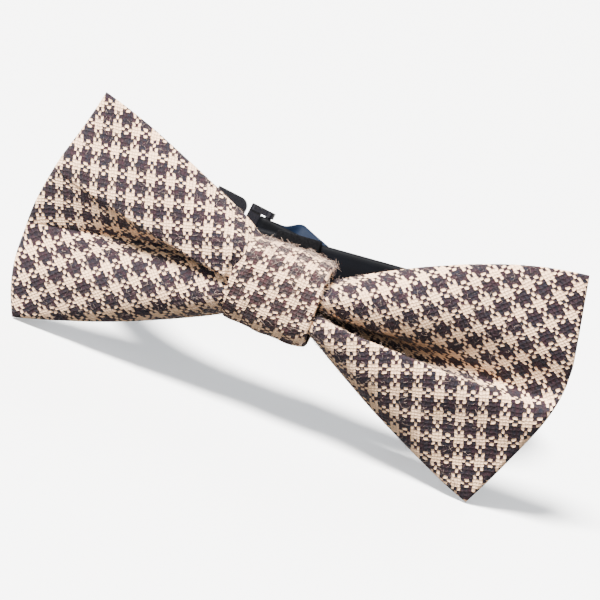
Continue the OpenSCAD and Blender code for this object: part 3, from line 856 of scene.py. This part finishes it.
def ribbon(name, C, N, W):
    """A ribbon as a closed thin loop of quads along a path. Its last stretch is the fold that stands up,
    coloured with a painted navy sheen.
    """
    P, zs = frame_rows(C, N, W)
    run = np.concatenate([[0], np.cumsum(np.linalg.norm(np.diff(C, axis=0), axis=1))])
    uv = np.stack(np.broadcast_arrays(run[:, None], zs[None, :]), -1)
    # painted sheen: where along the ribbon the navy sheen is painted
    painted_fold_sheen = np.broadcast_to(smooth(run[-1] - 22, run[-1] - 12, run)[:, None], uv.shape[:2])
    o = grid_mesh(name, P, uv, wrap=True, mark=painted_fold_sheen)
    cap_ends(o, P.shape)
    o.data.materials.append(ribbon_mat)
    return o, run[-1]


def far_places(pts):
    """Smooth places along straight and curved nape pieces, given as x, y, heading rows."""
    pts = np.array(pts, float)
    seg = np.concatenate([[0], np.cumsum(np.hypot(np.diff(pts[:, 0]), np.diff(pts[:, 1])))])
    n = max(8, int(seg[-1] / 0.25))
    s = np.linspace(0, seg[-1], n)
    x, y = np.interp(s, seg, pts[:, 0]), np.interp(s, seg, pts[:, 1])
    h = np.interp(s, seg, np.radians(pts[:, 2]))
    return x, y, h, s


def direction(v):
    """A direction in the band's frame, turned into the scene's."""
    return band_to_row(v) - band_to_row(np.zeros(3))


def far_rows(x, y, h, lift=0.0, tip=0.0):
    """Centres, thickness and width directions for nape places, lifted and tipped outwards."""
    c = np.stack([x, y, lift + 0 * x], -1)
    n = np.stack([-np.sin(h), np.cos(h), 0 * h], -1)
    tip = tip + 0 * x
    w = np.stack([0 * h, np.sin(tip), np.cos(tip)], -1)
    n = n * np.cos(tip)[:, None] - np.stack([0 * h, 0 * h, np.sin(tip)], -1)
    C = far_to_band(c)
    zero = far_to_band(np.zeros(3))
    N, W = far_to_band(n) - zero, far_to_band(w) - zero
    return C, N, W


def side_rows(sign):
    """Centres, thickness and width directions along one side of the ring."""
    x, y, h, run = SIDE.T
    q = run / SIDE_LEN
    z = side_height(q)
    g = np.arctan(np.gradient(z, run))
    hh = h * sign
    # loose ribbon ripples a little between its held ends
    loose = np.sin(np.pi * np.clip(q, 0, 1)) ** 2
    ripple = 0.5 * loose * np.sin(run / 7.0 + (1.3 if sign > 0 else 0.2))
    n = np.stack([-np.sin(hh), np.cos(hh), 0 * hh], -1)
    c = np.stack([sign * x, y, sign * z], -1) + n * ripple[:, None]
    w = np.stack([-np.sin(g) * np.cos(hh), -np.sin(g) * np.sin(hh), np.cos(g)], -1)
    return c, n, w


def make_band():
    """The neck band, from the fold at the eye round the neck to the fold at the hook."""
    a = np.linspace(0, 180, 28)
    ar = np.radians(a)
    # rows of x, y and heading; the hook's fold stands a little clear of its bar
    clear = 0.55
    depth = FOLD_R - FOLD_R * np.cos(ar)
    hook = np.stack([HOOK_X - (FOLD_R + clear) * np.sin(ar), depth, 180 - a], -1).tolist()
    hook += [[HOOK_X + 5, mix(2 * FOLD_R, LAY_Y, 0.5), -6], [HOOK_X + 10, LAY_Y, 0], [-4, LAY_Y, 0]]
    eye = np.stack([EYE_X + FOLD_R * np.sin(ar), depth, a], -1).tolist()
    eye += [[EYE_X - 3, mix(2 * FOLD_R, RETURN_Y, 0.6), 194], [EYE_X - 6, RETURN_Y + 0.1, 184]]
    ex, ey, eh, _ = far_places(eye[::-1])
    hx, hy, hh, hs = far_places(hook)
    # the doubled end behind the hook is folded askew, so its upper corner stands up
    rise = np.interp(hx, [-22, -17.5, -14, -9, -4], [0, 0.5, 4.3, 2.4, 1.0]) * smooth(4.0, 8.0, hs)
    rise = np.convolve(np.pad(rise, 4, mode="edge"), np.ones(9) / 9, "valid")
    E = far_rows(ex, ey, eh + math.pi)
    H = far_rows(hx, hy + 0.12 * rise, hh, lift=rise, tip=0.10 * rise)
    sl, sr = side_rows(-1), side_rows(1)
    near = np.linspace(-1, 1, 90)[1:-1]
    cn = np.stack([NEAR_HALF * near, 0 * near, NEAR_HALF * math.tan(NEAR_ROLL) * near], -1)
    nn = np.broadcast_to([0.0, 1.0, 0.0], cn.shape)
    wn = np.broadcast_to([-math.sin(NEAR_ROLL), 0.0, math.cos(NEAR_ROLL)], cn.shape)
    # from the last left place to the eye's tail, the nape run between arcs and folds
    C = np.concatenate([E[0], sl[0][::-1], cn, sr[0], H[0]])
    N = np.concatenate([E[1], sl[1][::-1], nn, sr[1], H[1]])
    W = np.concatenate([E[2], sl[2][::-1], wn, sr[2], H[2]])
    # the nape run to the hook is long: put places along it
    k = len(E[0]) + len(sl[0]) + len(cn) + len(sr[0])
    m = 60
    f = np.linspace(0, 1, m + 2)[1:-1, None]
    C = np.concatenate([C[:k], mix(C[k - 1], C[k], f), C[k:]])
    N = np.concatenate([N[:k], mix(N[k - 1], N[k], f), N[k:]])
    W = np.concatenate([W[:k], mix(W[k - 1], W[k], f), W[k:]])
    N = N / np.linalg.norm(N, axis=1, keepdims=True)
    W = W / np.linalg.norm(W, axis=1, keepdims=True)
    return ribbon("band_ribbon", band_to_row(C), direction(N), direction(W))


band, band_len = make_band()
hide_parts("neck_band")
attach(band, "band")


def make_return():
    """The ribbon's end, turned round the slider's middle bar."""
    bar_r, gap = 0.7, 0.1
    r = bar_r + gap + BAND_T / 2
    y0 = RETURN_Y + r
    a = np.linspace(0, 180, 24)
    ar = np.radians(a)
    pts = [[-15, RETURN_Y, 0]]
    pts += np.stack([SLIDER_X + r * np.sin(ar), y0 - r * np.cos(ar), a], -1).tolist()
    pts += [
        [SLIDER_X - 3.5, y0 + r * 0.45, 196],
        [SLIDER_X - 7, LAY_Y + 0.15, 184],
        [SLIDER_X - 8.6, LAY_Y, 180],
    ]
    x, y, h, _ = far_places(pts)
    C, N, W = far_rows(x, y, h)
    return ribbon("return_ribbon", band_to_row(C), direction(N), direction(W))


back_strap, back_len = make_return()
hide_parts("return_strap")
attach(back_strap, "slider")


def weld(o):
    """Joins points that lie on each other, so that a loop is closed."""
    bm = bmesh.new()
    bm.from_mesh(o.data)
    bmesh.ops.remove_doubles(bm, verts=bm.verts, dist=1e-7)
    bm.to_mesh(o.data)
    bm.free()


KEEPER_W = 11.0


def make_keeper():
    """Elastic loop sewn to the wrap's back, with ribbed edges."""
    nx, per = 44, 160
    s = np.linspace(-1, 1, nx)
    a = np.linspace(0, 2 * math.pi, per, endpoint=False)
    S, A = np.meshgrid(s, a, indexing="ij")
    c, sn = np.cos(A), np.sin(A)

    def shell(hy, hz, p):
        return hy * np.sign(c) * np.abs(c) ** (2 / p), hz * np.sign(sn) * np.abs(sn) ** (2 / p)

    oy, oz = shell(1.5, 10.75, 7.0)
    iy, iz = shell(0.8, 10.3, 9.0)
    rib = 0.05 * np.cos(S * math.pi * KEEPER_W / 1.1)
    edge = np.clip((np.abs(S) - 0.94) / 0.06, 0, 1) ** 2 * 0.3
    X = KEEPER_W / 2 * S
    oy = oy * (1 + rib * 0.4) - np.sign(oy) * edge
    oz = oz * (1 + rib * 0.05) - np.sign(oz) * edge
    outer = np.stack([X, oy, oz], -1)
    inner = np.stack([X, iy + np.sign(iy) * edge, iz + np.sign(iz) * edge], -1)
    loop = np.concatenate([outer, inner[::-1], outer[:1]], 0)
    c2, s2 = math.cos(-NEAR_ROLL), math.sin(-NEAR_ROLL)
    x, y, z = loop[..., 0] - NEAR[0], loop[..., 1], loop[..., 2]
    V = np.stack([x * c2 + z * s2, y, -x * s2 + z * c2], -1)
    o = grid_mesh("keeper_elastic", band_to_row(V), V[..., :2], wrap=True)
    weld(o)
    o.data.materials.append(elastic_mat)
    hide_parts("strap_keeper")
    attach(o, "bow_centre")
    return o


keeper = make_keeper()


# ---------------------------------------------------------------- rigid pieces, as the frame has them
HARDWARE = ("band_eye", "band_hook", "band_slider")
SEWING = (
    "pinch_thread", "wrap_seam_stitches", "keeper_stitches",
    "eye_tack_stitches", "slider_tack_stitches",
)
for nodes, material, slot in ((HARDWARE, enamel, "black_metal"), (SEWING, thread_mat, "thread")):
    for node in nodes:
        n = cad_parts[node]
        n.data.materials.clear()
        n.data.materials.append(material)


# ---------------------------------------------------------------- stage
def make_floor():
    """A pale sheet just under the bow, wide enough to reach the horizon."""
    g = Graph("floor")
    g.finish((0.92, 0.92, 0.92), 0.85, spec=0.1)
    s, z = 60.0, -0.0003
    mesh = bpy.data.meshes.new("floor")
    mesh.from_pydata([(-s, -s, z), (s, -s, z), (s, s, z), (-s, s, z)], [], [(0, 1, 2, 3)])
    floor = bpy.data.objects.new("floor", mesh)
    floor.data.materials.append(g.mat)
    bpy.context.scene.collection.objects.link(floor)
    floor.visible_diffuse = False                  # the sheet it stands on throws no light up into the folds


def make_room():
    """White surroundings, bright above and dim below."""
    world = bpy.data.worlds.new("world")
    bpy.context.scene.world = world
    world.use_nodes = True
    tree = world.node_tree
    bg = tree.nodes["Background"]
    place = tree.nodes.new("ShaderNodeTexCoord")
    split = tree.nodes.new("ShaderNodeSeparateXYZ")
    fade = tree.nodes.new("ShaderNodeMapRange")
    fade.interpolation_type = "SMOOTHSTEP"
    for i, v in enumerate((-0.7, 0.8, 0.26, 0.80)):
        fade.inputs[i + 1].default_value = v
    tree.links.new(place.outputs["Generated"], split.inputs[0])
    tree.links.new(split.outputs[2], fade.inputs[0])
    tree.links.new(fade.outputs[0], bg.inputs[1])
    bg.inputs[0].default_value = (1.0, 1.0, 1.0, 1)


def make_lights():
    """A large soft light high in front and to the left, a weak one in front, a cool one behind.
    Each has the direction it comes from, its strength, its spread in degrees and its tint."""
    lights = (
        ("key", (-0.50, -0.60, 1.20), 26.0, 18, (1.0, 0.985, 0.96)),
        ("front", (-0.2, -1.0, 0.25), 1.6, 50, (1.0, 1.0, 1.0)),
        ("back", (0.35, 1.0, 0.75), 2.4, 30, (0.82, 0.90, 1.0)),
    )
    for name, towards, power, soft, tint in lights:
        lamp = bpy.data.lights.new(name, "SUN")
        lamp.energy = power
        lamp.color = tint
        lamp.angle = math.radians(soft)
        o = bpy.data.objects.new(name, lamp)
        o.rotation_euler = Vector(towards).to_track_quat("Z", "Y").to_euler()
        bpy.context.scene.collection.objects.link(o)


make_floor()
make_room()
make_lights()


# ---------------------------------------------------------------- placements baked into the meshes
# each wing and its fuzz get their placement baked into their mesh
for side, wing, fuzz in ((-1, left_wing, left_fuzz), (1, right_wing, right_fuzz)):
    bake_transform(wing)
    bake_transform(fuzz)
